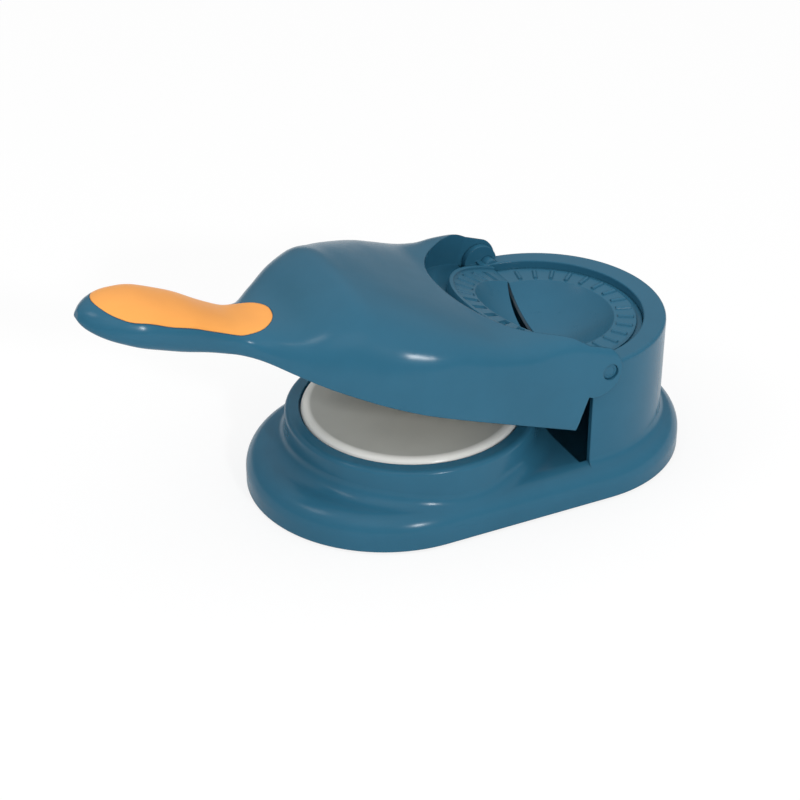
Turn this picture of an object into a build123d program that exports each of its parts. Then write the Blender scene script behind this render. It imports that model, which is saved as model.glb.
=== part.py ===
from build123d import *

import math
import os

# Dough press and folding mould, in millimetres.
#
# Working frame: X = 0 and Y = 0 at the middle of the hinge axis, +X to the rear, +Z up, and
# Z = 0 on the worktop. Lever parts are drawn with the lever pressed shut and are then turned
# up about the hinge by LEVER_REST_ANGLE. The last step shifts everything along X, so that the
# origin of the finished part is at the middle of its length.

# ---------------------------------------------------------------- foot and base shell
FOOT_WIDTH = 118.0
FOOT_TOP = 17.0             # height of the flat top of the foot
FOOT_SHOULDER = 10.0        # rounding of the foot's upper edge
FOOT_LIFT = 1.2             # gap under the shell, made by the rubber feet
FRONT_LEDGE = 17.9          # foot in front of the dough platform
REAR_LEDGE = 9.1            # foot behind the housing
WALL = 2.5                  # moulded wall of the base
SEAM_SINK = 6.0             # how far the drums are drawn down into the foot

# ---------------------------------------------------------------- rear housing
HOUSING_SETBACK = 6.2       # housing's side in from the foot's edge
HOUSING_X = -0.5
HOUSING_RISE = 2.1          # top ring above the hinge axis
HOUSING_EDGE = 1.6          # rounding of its top edge
HOUSING_BLEND = 5.0         # concave rounding where it rises from the foot
HOUSING_FRONT = -5.5        # front ends of its wall
WINDOW_LIP = 3.5            # opening in the foot's top, in front of the wall
OPENING_OFFSET = -2.5       # mould opening from the middle of the housing
RING_WIDTH = 7.5            # top ring round the mould opening
OPENING_EDGE = 0.6

# ---------------------------------------------------------------- dough platform and plate
PLATFORM_SETBACK = 5.5      # platform's side in from the foot's edge
PLATFORM_GAP = 3.2          # platform to the front ends of the housing's wall
PLATFORM_TOP = 32.2
PLATFORM_RIM = 6.1          # flat rim outside the groove
PLATFORM_EDGE = 2.2         # rounding of the rim
PLATFORM_BLEND = 7.0        # concave rounding where the platform rises from the foot
PLATE_GAP = 0.8             # groove round the plate
PLATE_THICKNESS = 3.2
PLATE_PROUD = 1.2           # plate above the platform's rim
PLATE_EDGE = 1.2
PLATE_SCREW_INSET = 16.6    # plate's edge to its screws

# ---------------------------------------------------------------- hinge
HINGE_Z = 61.0
PIN_RADIUS = 3.4
PIN_RECESS = 1.0            # pin end below the arm's outer face
PIN_CHAMFER = 0.4
PIN_FIT = 0.05              # radial clearance of a fixed pin
RUNNING_FIT = 0.06          # radial clearance of a turning pin
KNUCKLE_X = -3.2            # middle of each hinge eye from the axis
KNUCKLE_RISE = 0.9
KNUCKLE_RADIUS = 7.9
KNUCKLE_INSET = 0.7         # eye's inner face from the mould opening
EAR_THICKNESS = 3.0         # eye where it stands above the top ring
ARM_GAP = 0.3               # between eye and arm
HOUSING_GAP = 1.0           # between the housing's side and the arms
LOBE_X = -5.4               # rounded rear end of each arm, from the axis
LOBE_DROP = 1.1
LOBE_RADIUS = 10.9
SKIRT_REAR = -6.0           # rear edge of the lever's side walls

# ---------------------------------------------------------------- moulds
MOULD_DROP = 0.6            # rear mould's face below the hinge axis
MOULD_GAP = 0.4             # between the two mould faces when folded shut
MOULD_EDGE = 0.4            # each straight edge to the fold line
MOULD_FLANGE = 2.9
MOULD_FIT = 0.3             # round the rear mould in its opening
FRONT_MOULD_FIT = 0.5       # round the front mould, which swings into the same opening
MOULD_WALL = 2.5
MOULD_SKIN = 0.7            # left above a blind screw hole
LIP_WIDTH = 1.8             # raised lip round the front mould
LIP_HEIGHT = 0.9
CRIMP_COUNT = 14
CRIMP_SPREAD = 156.0        # degrees from the first crimp to the last
CRIMP_INSET = 6.6           # crimps in from the mould opening
CRIMP_LENGTH = 6.7
CRIMP_RIM = 1.5             # crimps to the edge of the bowl
BOWL_DEPTH = 13.5
RIB_RADIUS = 0.9
GROOVE_RADIUS = 1.5
GROOVE_LONGER = 0.8         # groove beyond each end of its rib
LEDGE_WIDTH = 6.6
LEDGE_THICKNESS = 2.5
MOULD_SCREW_INSET = 4.2
MOULD_SCREW_ANGLES = (0, 56.4, -56.4)

# ---------------------------------------------------------------- lever
LEVER_REST_ANGLE = 20.0
LEVER_WALL = 2.6
RIM_GAP = 1.3               # hood's rim above the platform when pressed shut
CUT_X = 1.0                 # round cut in the crown, from the axis
CUT_GAP = 2.9               # round the housing when folded over
TRENCH_GAP = 1.9            # its floor to the top ring when folded over
TRENCH_THICKNESS = 2.5
TRENCH_SWING = 0.8          # clear of the hinge eyes
HANDLE_SOLID = 3.9          # solid root of the handle, behind the hood's first station
PRESS_GAP = 0.8             # disc above the plate when pressed shut
DISC_INSET = 0.2            # disc smaller than the plate
DISC_THICKNESS = 3.0
DISC_EDGE = 1.2
DISC_SKIN = 1.0             # left over a blind screw hole in disc or plate
COVER_FIT = 0.3
COVER_THICKNESS = 2.4
COVER_REAR = -9.0
GRIP_SEAT = 2.5             # floor of the inlay's pocket above the hood's rim
GRIP_FIT = 0.2
GRIP_WALL = 2.0             # handle under the pocket, at the screws
GRIP_SCREW_LENGTH = 7.5

# Handle, one row for each station: distance in front of the hood, half width, then bottom, share
# of the width that is flat underneath, widest place and crown, all above the hood's rim, and
# the squareness of the crown (0.41 is an ellipse, 1.0 is nearly a box).
HANDLE_STATIONS = [
    (80.4, 2.0, 1.5, 0.60, 2.1, 4.5, 0.41),
    (79.1, 5.0, 0.3, 0.60, 1.7, 6.5, 0.44),
    (75.1, 10.5, -0.8, 0.70, 1.8, 9.8, 0.46),
    (68.1, 15.2, -1.4, 0.75, 2.3, 12.9, 0.48),
    (56.1, 18.2, -1.6, 0.78, 3.1, 14.9, 0.50),
    (42.1, 17.6, -1.6, 0.78, 3.5, 14.3, 0.50),
    (28.1, 15.7, -1.3, 0.78, 3.5, 11.9, 0.50),
    (17.1, 15.2, -1.1, 0.82, 3.5, 10.5, 0.52),
    (9.1, 18.3, -0.6, 0.90, 3.5, 11.3, 0.53),
]
# Hood and arms: distance behind the platform's middle in platform radii, half width as a share
# of the arms', flat share, widest place above the rim, crown above the hinge axis, squareness.
HOOD_STATIONS = [
    (-1.19, 0.49, 0.98, 5.0, -12.0, 0.60),
    (-0.99, 0.67, 0.99, 6.0, -0.5, 0.60),
    (-0.78, 0.80, 0.99, 5.5, 6.6, 0.60),
    (-0.52, 0.915, 0.99, 5.0, 6.9, 0.65),
    (-0.24, 0.98, 0.99, 4.5, 6.4, 0.73),
    (0.0, 0.995, 0.99, 4.5, 5.9, 0.79),
    (0.19, 1.0, 0.99, 4.5, 5.5, 0.84),
    (0.41, 1.0, 0.99, 4.5, 6.9, 0.89),
    (0.60, 1.0, 0.99, 4.5, 10.0, 0.97),
    (0.79, 1.0, 0.99, 4.5, 12.4, 1.0),
    (1.01, 1.0, 0.99, 4.5, 12.6, 1.0),
    (1.39, 1.0, 0.99, 4.5, 12.6, 1.0),
]
STATION_STEP = 5.0          # longest step between two sections of the lever

# Half of the grip inlay's outline, seen from above, from its rear end to its tip: distance in
# front of the hood, half width.
GRIP_OUTLINE = [
    (1.7, 0.0),
    (2.9, 6.0),
    (6.6, 10.6),
    (14.1, 13.0),
    (27.1, 13.8),
    (41.1, 15.6),
    (54.1, 16.3),
    (65.1, 14.4),
    (72.1, 9.6),
    (75.1, 4.5),
    (75.9, 0.0),
]
GRIP_SCREW_PLACES = (24.0, 58.0)

# ---------------------------------------------------------------- screws and rubber feet
SCREW_RADIUS = 1.2
SCREW_CLEAR = 0.3           # round a screw in the piece that it clamps
SCREW_BITE = 0.05           # round a screw in the piece that it holds in
SCREW_HEAD_RADIUS = 2.6
SCREW_HEAD_HEIGHT = 1.6
SCREW_TIP_GAP = 0.3
COVER_SCREW_LENGTH = 10.0   # screws of both lids, under the head
SLOT_WIDTH = 0.8
SLOT_DEPTH = 0.7
SLOT_SHARE = 0.7            # reach of the cross slot over the head
POST_RADIUS = 3.4
POST_ROOT = 0.5             # post sunk into what it hangs from
FRONT_POST_INSET = 15.5     # platform's edge to the posts under it
REAR_POST_INSET = 4.0       # housing's side to the posts beside it
REAR_POST_TOP = 22.0
LEVER_POST_GAP = 6.4        # press disc's edge to the posts round it
REAR_POST_FRONT = 11.0      # lever's rear posts in front of the lid's rear edge
REAR_POST_SIDE = 6.8        # and in from the arms
FOOT_PAD_RADIUS = 7.0
FOOT_PAD_FIT = 0.1
FOOT_PAD_SEAT = 0.7         # depth of each pad's seat in the cover
FOOT_PAD_CHAMFER = 0.4
PAD_INSET_FRONT = 21.6
PAD_INSET_REAR = 23.4
PAD_INSET_SIDE = 31.0
BASE_COVER_THICKNESS = 2.4
BASE_COVER_FIT = 0.3
COUNTERBORE_DEPTH = 1.3

TALL = 200.0                # reach of cutting tools
OVER = 1.0                  # how far a cut overshoots a face
NEAR = 0.01                 # how closely an edge has to lie where it is looked for

# ---------------------------------------------------------------- worked-out sizes
HOUSING_RADIUS = FOOT_WIDTH / 2 - HOUSING_SETBACK
HOUSING_TOP = HINGE_Z + HOUSING_RISE
WINDOW_FRONT = HOUSING_FRONT - WINDOW_LIP
OPENING_X = HOUSING_X + OPENING_OFFSET
OPENING_RADIUS = HOUSING_RADIUS - RING_WIDTH
PLATFORM_RADIUS = FOOT_WIDTH / 2 - PLATFORM_SETBACK
PLATFORM_X = HOUSING_FRONT - PLATFORM_GAP - PLATFORM_RADIUS
PLATE_RADIUS = PLATFORM_RADIUS - PLATFORM_RIM - PLATE_GAP
PLATE_SCREW_CIRCLE = PLATE_RADIUS - PLATE_SCREW_INSET
PLATE_TOP = PLATFORM_TOP + PLATE_PROUD
PLATE_SEAT = PLATE_TOP - PLATE_THICKNESS
SEAT_UNDERSIDE = PLATE_SEAT - WALL
FOOT_FRONT = PLATFORM_X - PLATFORM_RADIUS - FRONT_LEDGE
FOOT_REAR = HOUSING_X + HOUSING_RADIUS + REAR_LEDGE
FOOT_LENGTH = FOOT_REAR - FOOT_FRONT
FOOT_CENTRE = (FOOT_REAR + FOOT_FRONT) / 2
BASE_COVER_TOP = FOOT_LIFT + BASE_COVER_THICKNESS
BASE_SCREW_SEAT = FOOT_LIFT + COUNTERBORE_DEPTH

ARM_INNER = HOUSING_RADIUS + HOUSING_GAP
ARM_OUTER = ARM_INNER + LEVER_WALL
KNUCKLE_INNER = OPENING_RADIUS + KNUCKLE_INSET
KNUCKLE_OUTER = ARM_INNER - ARM_GAP
KNUCKLE_Z = HINGE_Z + KNUCKLE_RISE
LOBE_Z = HINGE_Z - LOBE_DROP

MOULD_FACE_REAR = HINGE_Z - MOULD_DROP
MOULD_FACE_FRONT = 2 * HINGE_Z - MOULD_FACE_REAR - MOULD_GAP
LEDGE_TOP = MOULD_FACE_REAR - MOULD_FLANGE
LEDGE_BOTTOM = LEDGE_TOP - LEDGE_THICKNESS
CRIMP_OUTER = OPENING_RADIUS - CRIMP_INSET
CRIMP_INNER = CRIMP_OUTER - CRIMP_LENGTH
BOWL_RADIUS = CRIMP_INNER - CRIMP_RIM
LIP_RADIUS = OPENING_RADIUS - FRONT_MOULD_FIT - LIP_WIDTH

CUT_RADIUS = HOUSING_RADIUS + CUT_GAP
TRENCH_FLOOR = 2 * HINGE_Z - HOUSING_TOP - TRENCH_GAP
TRENCH_REAR = -math.hypot(KNUCKLE_X, KNUCKLE_RISE) - KNUCKLE_RADIUS - TRENCH_SWING
CRADLE_TOP = MOULD_FACE_FRONT - MOULD_FLANGE
CRADLE_BOTTOM = TRENCH_FLOOR - TRENCH_THICKNESS
CRADLE_RADIUS = OPENING_RADIUS - 2 * FRONT_MOULD_FIT
DISC_RADIUS = PLATE_RADIUS - DISC_INSET
COVER_BOTTOM = PLATE_TOP + PRESS_GAP + DISC_THICKNESS
COVER_TOP = COVER_BOTTOM + COVER_THICKNESS
HOOD_RIM = PLATFORM_TOP + RIM_GAP
HOOD_FRONT = PLATFORM_X + HOOD_STATIONS[0][0] * PLATFORM_RADIUS
CAVITY_FRONT = HOOD_FRONT + HANDLE_SOLID
GRIP_FLOOR = HOOD_RIM + GRIP_SEAT

# x, half width, bottom, flat share, widest place, crown and squareness of each lever section
LEVER_STATIONS = [
    (HOOD_FRONT - ahead, half, HOOD_RIM + bottom, flat, HOOD_RIM + middle, HOOD_RIM + crown, square)
    for ahead, half, bottom, flat, middle, crown, square in HANDLE_STATIONS
] + [
    (
        PLATFORM_X + behind * PLATFORM_RADIUS,
        share * ARM_OUTER,
        HOOD_RIM,
        flat,
        HOOD_RIM + middle,
        HINGE_Z + crown,
        square,
    )
    for behind, share, flat, middle, crown, square in HOOD_STATIONS
]


# ---------------------------------------------------------------- small helpers
def rod(x, y, radius, low, high):
    """Upright cylinder from one height to another."""
    return Pos(x, y, (low + high) / 2) * Cylinder(radius, high - low)


def cross_rod(x, z, radius, low_y, high_y):
    """Cylinder along Y from one side position to another."""
    return Pos(x, (low_y + high_y) / 2, z) * Rot(90, 0, 0) * Cylinder(radius, high_y - low_y)


def block(low, high):
    """Box between two opposite corners."""
    size = [b - a for a, b in zip(low, high)]
    middle = [(a + b) / 2 for a, b in zip(low, high)]
    return Pos(*middle) * Box(*size)


def ring(x, outer, inner, low, high):
    """Upright tube."""
    return rod(x, 0, outer, low, high) - rod(x, 0, inner, low - OVER, high + OVER)


def screw_up(x, y, seat, length):
    """Screw driven upwards, its head under a face at height seat."""
    head = rod(x, y, SCREW_HEAD_RADIUS, seat - SCREW_HEAD_HEIGHT, seat)
    shank = rod(x, y, SCREW_RADIUS, seat - SCREW_HEAD_HEIGHT / 2, seat + length)
    slot_low = seat - SCREW_HEAD_HEIGHT
    slot_reach = SCREW_HEAD_RADIUS * SLOT_SHARE
    slots = block(
        (x - slot_reach, y - SLOT_WIDTH / 2, slot_low - OVER),
        (x + slot_reach, y + SLOT_WIDTH / 2, slot_low + SLOT_DEPTH),
    ) + block(
        (x - SLOT_WIDTH / 2, y - slot_reach, slot_low - OVER),
        (x + SLOT_WIDTH / 2, y + slot_reach, slot_low + SLOT_DEPTH),
    )
    return head + shank - slots


def screw_down(x, y, seat, length):
    """Screw driven downwards, its head on a face at height seat."""
    return Pos(x, y, seat) * Rot(180, 0, 0) * screw_up(0, 0, 0, length)


def group(solids):
    """Loose solids that share one node."""
    return Part() + list(solids)


def around(x, radius, angles):
    """Points on a circle about (x, 0)."""
    return [
        (x + radius * math.cos(math.radians(a)), radius * math.sin(math.radians(a)))
        for a in angles
    ]


def both_sides(x, y):
    """A place and its mirror image."""
    return [(x, y), (x, -y)]


def circles_at(shape, height, radius):
    """Round edges of one radius at one height."""
    return [
        edge
        for edge in shape.edges().filter_by(GeomType.CIRCLE)
        if abs(edge.center().Z - height) < NEAR and abs(edge.radius - radius) < NEAR
    ]


# ---------------------------------------------------------------- screw and pad places
BASE_POSTS_FRONT = around(PLATFORM_X, PLATFORM_RADIUS - FRONT_POST_INSET, (60, 180, 300))
BASE_POSTS_REAR = around(HOUSING_X, HOUSING_RADIUS - REAR_POST_INSET, (70, -70))
PLATE_SCREWS = around(PLATFORM_X, PLATE_SCREW_CIRCLE, (90, 210, 330))
DISC_SCREWS = around(PLATFORM_X, PLATE_SCREW_CIRCLE, (30, 150, 270))
REAR_MOULD_SCREWS = around(OPENING_X, OPENING_RADIUS - MOULD_SCREW_INSET, MOULD_SCREW_ANGLES)
FRONT_MOULD_SCREWS = [(-x, y) for x, y in REAR_MOULD_SCREWS]
LEVER_POSTS = around(PLATFORM_X, DISC_RADIUS + LEVER_POST_GAP, (180, 134, 226)) + both_sides(
    COVER_REAR - REAR_POST_FRONT, ARM_INNER - REAR_POST_SIDE
)
GRIP_SCREWS = [(HOOD_FRONT - ahead, 0) for ahead in GRIP_SCREW_PLACES]
PAD_PLACES = both_sides(FOOT_FRONT + PAD_INSET_FRONT, FOOT_WIDTH / 2 - PAD_INSET_SIDE) + both_sides(
    FOOT_REAR - PAD_INSET_REAR, FOOT_WIDTH / 2 - PAD_INSET_SIDE
)


# ---------------------------------------------------------------- base
def foot_solid(inset, low, high, shoulder):
    """Stadium-shaped block with a rounded upper edge."""
    outline = Pos(FOOT_CENTRE, 0, low) * SlotOverall(FOOT_LENGTH - 2 * inset, FOOT_WIDTH - 2 * inset)
    solid = extrude(outline, high - low)
    return fillet(solid.faces().sort_by(Axis.Z)[-1].edges(), shoulder)


def platform_solid(inset, low, high):
    """Drum under the dough plate."""
    return rod(PLATFORM_X, 0, PLATFORM_RADIUS - inset, low, high)


def housing_solid(inset, low, high):
    """Drum of the rear housing, cut off at its front."""
    drum = rod(HOUSING_X, 0, HOUSING_RADIUS - inset, low, high)
    return drum & block((HOUSING_FRONT, -TALL, low - OVER), (TALL, TALL, high + OVER))


def knuckle(side):
    """Hinge eye on the housing's wall: a thin ear above the top ring, thicker below it."""
    ear_inner = KNUCKLE_OUTER - EAR_THICKNESS
    faces = sorted((side * ear_inner, side * KNUCKLE_OUTER))
    ear = cross_rod(KNUCKLE_X, KNUCKLE_Z, KNUCKLE_RADIUS, *faces)
    faces = sorted((side * KNUCKLE_INNER, side * (ear_inner + OVER)))
    boss = cross_rod(KNUCKLE_X, KNUCKLE_Z, KNUCKLE_RADIUS, *faces)
    return ear + (boss & block((-TALL, -TALL, 0), (TALL, TALL, HOUSING_TOP - WALL / 2)))


def stands_on_foot(edge, centre_x, radius):
    """Whether an edge lies where an upright wall of this radius meets the foot."""
    for share in (0.1, 0.5, 0.9):
        point = edge @ share
        off_wall = abs(math.hypot(point.X - centre_x, point.Y) - radius)
        if off_wall > NEAR or point.Z > FOOT_TOP + NEAR:
            return False
    return True


def base_outside():
    """Outer form of the base, walls blended into the foot."""
    foot = foot_solid(0, FOOT_LIFT, FOOT_TOP, FOOT_SHOULDER)
    platform = platform_solid(0, FOOT_TOP - SEAM_SINK, PLATFORM_TOP)
    housing = housing_solid(0, FOOT_TOP - SEAM_SINK, HOUSING_TOP)
    outside = foot + platform + housing
    for centre_x, radius, blend in (
        (HOUSING_X, HOUSING_RADIUS, HOUSING_BLEND),
        (PLATFORM_X, PLATFORM_RADIUS, PLATFORM_BLEND),
    ):
        seam = [e for e in outside.edges() if stands_on_foot(e, centre_x, radius)]
        outside = fillet(seam, blend)
    outside = fillet(circles_at(outside, PLATFORM_TOP, PLATFORM_RADIUS), PLATFORM_EDGE)
    return fillet(circles_at(outside, HOUSING_TOP, HOUSING_RADIUS), HOUSING_EDGE)


def base_cavity():
    """Hollow under the foot, the platform and the housing."""
    foot = foot_solid(WALL, 0, FOOT_TOP - WALL, FOOT_SHOULDER - WALL)
    platform = platform_solid(WALL, FOOT_TOP - SEAM_SINK, SEAT_UNDERSIDE)
    housing = housing_solid(WALL, FOOT_TOP - SEAM_SINK, HOUSING_TOP - WALL)
    reach = HOUSING_RADIUS - WALL
    window = block((WINDOW_FRONT, -reach, FOOT_TOP - SEAM_SINK), (0, reach, HINGE_Z))
    return foot + platform + housing + window


def opening_collar():
    """Collar round the rear mould, with the half ledge that carries it."""
    collar_top = HOUSING_TOP - WALL / 2
    collar = ring(OPENING_X, OPENING_RADIUS + WALL, OPENING_RADIUS, LEDGE_BOTTOM, collar_top)
    ledge_inner = OPENING_RADIUS - LEDGE_WIDTH
    ledge = ring(OPENING_X, OPENING_RADIUS + OVER, ledge_inner, LEDGE_BOTTOM, LEDGE_TOP)
    ledge = ledge & block((MOULD_EDGE, -TALL, LEDGE_BOTTOM), (TALL, TALL, LEDGE_TOP))
    return (collar + ledge) & housing_solid(0, LEDGE_BOTTOM, HOUSING_TOP)


def hinge_bores(radius):
    """Bores for the two hinge pins, each blind on its inner side."""
    return cross_rod(0, HINGE_Z, radius, KNUCKLE_INNER, TALL) + cross_rod(
        0, HINGE_Z, radius, -TALL, -KNUCKLE_INNER
    )


def base_shell():
    """One moulding: foot, dough platform, rear housing and hinge eyes."""
    shell = base_outside() - base_cavity() + opening_collar()
    shell -= rod(OPENING_X, 0, OPENING_RADIUS, LEDGE_TOP, HOUSING_TOP + OVER)
    shell = fillet(circles_at(shell, HOUSING_TOP, OPENING_RADIUS), OPENING_EDGE)
    for side in (-1, 1):
        shell += knuckle(side)
    for x, y in BASE_POSTS_FRONT:
        shell += rod(x, y, POST_RADIUS, BASE_COVER_TOP, SEAT_UNDERSIDE + POST_ROOT)
    for x, y in BASE_POSTS_REAR:
        shell += rod(x, y, POST_RADIUS, BASE_COVER_TOP, REAR_POST_TOP)
    shell -= rod(PLATFORM_X, 0, PLATE_RADIUS + PLATE_GAP, PLATE_SEAT, TALL)
    shell -= hinge_bores(PIN_RADIUS + PIN_FIT)
    for x, y in PLATE_SCREWS:
        shell -= rod(x, y, SCREW_RADIUS + SCREW_CLEAR, SEAT_UNDERSIDE - OVER, PLATE_SEAT + OVER)
    for x, y in REAR_MOULD_SCREWS:
        shell -= rod(x, y, SCREW_RADIUS + SCREW_CLEAR, LEDGE_BOTTOM - OVER, LEDGE_TOP + OVER)
    hole_top = BASE_SCREW_SEAT + COVER_SCREW_LENGTH + SCREW_TIP_GAP
    for x, y in BASE_POSTS_FRONT + BASE_POSTS_REAR:
        shell -= rod(x, y, SCREW_RADIUS + SCREW_BITE, BASE_COVER_TOP - OVER, hole_top)
    return shell


def base_bottom_cover():
    """Flat lid under the foot, with seats for the rubber feet."""
    inset = WALL + BASE_COVER_FIT
    outline = SlotOverall(FOOT_LENGTH - 2 * inset, FOOT_WIDTH - 2 * inset)
    cover = extrude(Pos(FOOT_CENTRE, 0, FOOT_LIFT) * outline, BASE_COVER_THICKNESS)
    for x, y in PAD_PLACES:
        cover -= rod(x, y, FOOT_PAD_RADIUS + FOOT_PAD_FIT, 0, FOOT_LIFT + FOOT_PAD_SEAT)
    for x, y in BASE_POSTS_FRONT + BASE_POSTS_REAR:
        cover -= rod(x, y, SCREW_RADIUS + SCREW_CLEAR, 0, TALL)
        cover -= rod(x, y, SCREW_HEAD_RADIUS + SCREW_CLEAR, 0, BASE_SCREW_SEAT)
    return cover


def base_cover_screws():
    """Screws that hold the lid under the foot."""
    places = BASE_POSTS_FRONT + BASE_POSTS_REAR
    return group(screw_up(x, y, BASE_SCREW_SEAT, COVER_SCREW_LENGTH) for x, y in places)


def rubber_foot(x, y):
    """Soft pad on which the press stands."""
    pad = rod(x, y, FOOT_PAD_RADIUS, 0, FOOT_LIFT + FOOT_PAD_SEAT)
    return chamfer(pad.faces().sort_by(Axis.Z)[0].edges(), FOOT_PAD_CHAMFER)


def press_plate():
    """White plate on which the dough lies."""
    plate = rod(PLATFORM_X, 0, PLATE_RADIUS, PLATE_SEAT, PLATE_TOP)
    plate = fillet(plate.faces().sort_by(Axis.Z)[-1].edges(), PLATE_EDGE)
    for x, y in PLATE_SCREWS:
        plate -= rod(x, y, SCREW_RADIUS + SCREW_BITE, PLATE_SEAT - OVER, PLATE_TOP - DISC_SKIN)
    return plate


def press_plate_screws():
    """Screws up through the platform into the plate."""
    length = PLATE_TOP - DISC_SKIN - SCREW_TIP_GAP - SEAT_UNDERSIDE
    return group(screw_up(x, y, SEAT_UNDERSIDE, length) for x, y in PLATE_SCREWS)


def pivot_pin(side):
    """Hinge pin, fixed in the housing's eye, on which the lever's arm turns."""
    low, high = sorted((side * KNUCKLE_INNER, side * (ARM_OUTER - PIN_RECESS)))
    pin = cross_rod(0, HINGE_Z, PIN_RADIUS, low, high)
    return chamfer(pin.edges().filter_by(GeomType.CIRCLE), PIN_CHAMFER)


# ---------------------------------------------------------------- moulds
def mould_half(flange_x, flange_radius, face, behind):
    """Half-moon mould with its dish; behind is +1 for the rear half and -1 for the front half."""
    plate = rod(flange_x, 0, flange_radius, face - MOULD_FLANGE, face)
    sphere = (BOWL_RADIUS * BOWL_RADIUS + BOWL_DEPTH * BOWL_DEPTH) / (2 * BOWL_DEPTH)
    centre_z = face + sphere - BOWL_DEPTH
    outside = Pos(0, 0, centre_z) * Sphere(sphere + MOULD_WALL)
    inside = Pos(0, 0, centre_z) * Sphere(sphere)
    slab = block((-TALL, -TALL, face - TALL), (TALL, TALL, face))
    half = plate + (outside & slab) - inside
    low, high = sorted((behind * MOULD_EDGE, behind * TALL))
    return half & block((low, -TALL, -TALL), (high, TALL, TALL))


def crimp_angles():
    """Directions of the crimping ribs, measured from straight back."""
    step = CRIMP_SPREAD / (CRIMP_COUNT - 1)
    return [-CRIMP_SPREAD / 2 + step * i for i in range(CRIMP_COUNT)]


def crimp_rods(radius, longer, face, behind):
    """Rods that lie on a mould face and point at the middle of the fold line."""
    rods = []
    for angle in crimp_angles():
        turn = angle if behind > 0 else 180 - angle
        middle = Pos((CRIMP_INNER + CRIMP_OUTER) / 2, 0, face) * Rot(0, 90, 0)
        rods.append(Rot(0, 0, turn) * middle * Cylinder(radius, CRIMP_LENGTH + 2 * longer))
    return rods


def rear_mould():
    """Fixed half of the folding mould, with crimping ribs and a step for the other half's lip."""
    face = MOULD_FACE_REAR
    mould = mould_half(OPENING_X, OPENING_RADIUS - MOULD_FIT, face, 1)
    mould -= ring(OPENING_X, OPENING_RADIUS, LIP_RADIUS - FRONT_MOULD_FIT, face - LIP_HEIGHT, face + OVER)
    for rib in crimp_rods(RIB_RADIUS, 0, face, 1):
        mould += rib
    for x, y in REAR_MOULD_SCREWS:
        mould -= rod(x, y, SCREW_RADIUS + SCREW_BITE, LEDGE_TOP - OVER, face - MOULD_SKIN)
    return mould


def rear_mould_screws():
    """Screws up through the ledge into the rear mould."""
    length = MOULD_FACE_REAR - MOULD_SKIN - SCREW_TIP_GAP - LEDGE_BOTTOM
    return group(screw_up(x, y, LEDGE_BOTTOM, length) for x, y in REAR_MOULD_SCREWS)


def front_mould():
    """Moving half of the folding mould, with a raised lip and grooves for the ribs."""
    face = MOULD_FACE_FRONT
    mould = mould_half(-OPENING_X, OPENING_RADIUS - FRONT_MOULD_FIT, face, -1)
    lip = ring(-OPENING_X, OPENING_RADIUS - FRONT_MOULD_FIT, LIP_RADIUS, face - LIP_HEIGHT, face + LIP_HEIGHT)
    mould += lip & block((-TALL, -TALL, 0), (-MOULD_EDGE, TALL, TALL))
    for groove in crimp_rods(GROOVE_RADIUS, GROOVE_LONGER, face, -1):
        mould -= groove
    for x, y in FRONT_MOULD_SCREWS:
        mould -= rod(x, y, SCREW_RADIUS + SCREW_BITE, CRADLE_TOP - OVER, face - MOULD_SKIN)
    return mould


def front_mould_screws():
    """Screws up through the lever's cradle into the front mould."""
    length = MOULD_FACE_FRONT - MOULD_SKIN - SCREW_TIP_GAP - CRADLE_BOTTOM
    return group(screw_up(x, y, CRADLE_BOTTOM, length) for x, y in FRONT_MOULD_SCREWS)


# ---------------------------------------------------------------- lever
def slope(before, here, after, column):
    """Slope of one station column at a station, without overshoot."""
    left = (here[column] - before[column]) / (here[0] - before[0])
    right = (after[column] - here[column]) / (after[0] - here[0])
    if left * right <= 0:
        return 0.0
    return 2 * left * right / (left + right)


def station_between(rows, index, t):
    """Station at a share t of the way from one row to the next."""
    near, far = rows[index], rows[index + 1]
    before = rows[index - 1] if index else near
    after = rows[index + 2] if index + 2 < len(rows) else far
    step = far[0] - near[0]
    station = [near[0] + t * step]
    for column in range(1, len(near)):
        start = slope(before, near, far, column) if index else 0.0
        end = slope(near, far, after, column) if after is not far else 0.0
        blend = t * t * (3 - 2 * t)
        station.append(
            near[column] * (1 - blend)
            + far[column] * blend
            + step * start * t * (1 - t) ** 2
            - step * end * t * t * (1 - t)
        )
    return tuple(station)


def lever_stations(front):
    """Closely spaced stations from a front position to the last one."""
    rows = LEVER_STATIONS
    stations = []
    for index, (near, far) in enumerate(zip(rows, rows[1:])):
        count = math.ceil((far[0] - near[0]) / STATION_STEP)
        for i in range(count):
            stations.append(station_between(rows, index, i / count))
    stations.append(rows[-1])
    behind = [s for s in stations if s[0] > front + 1]
    if front <= rows[0][0]:
        return [rows[0]] + behind
    index = max(i for i, row in enumerate(rows) if row[0] <= front)
    near, far = rows[index], rows[index + 1]
    return [station_between(rows, index, (front - near[0]) / (far[0] - near[0]))] + behind


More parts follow.
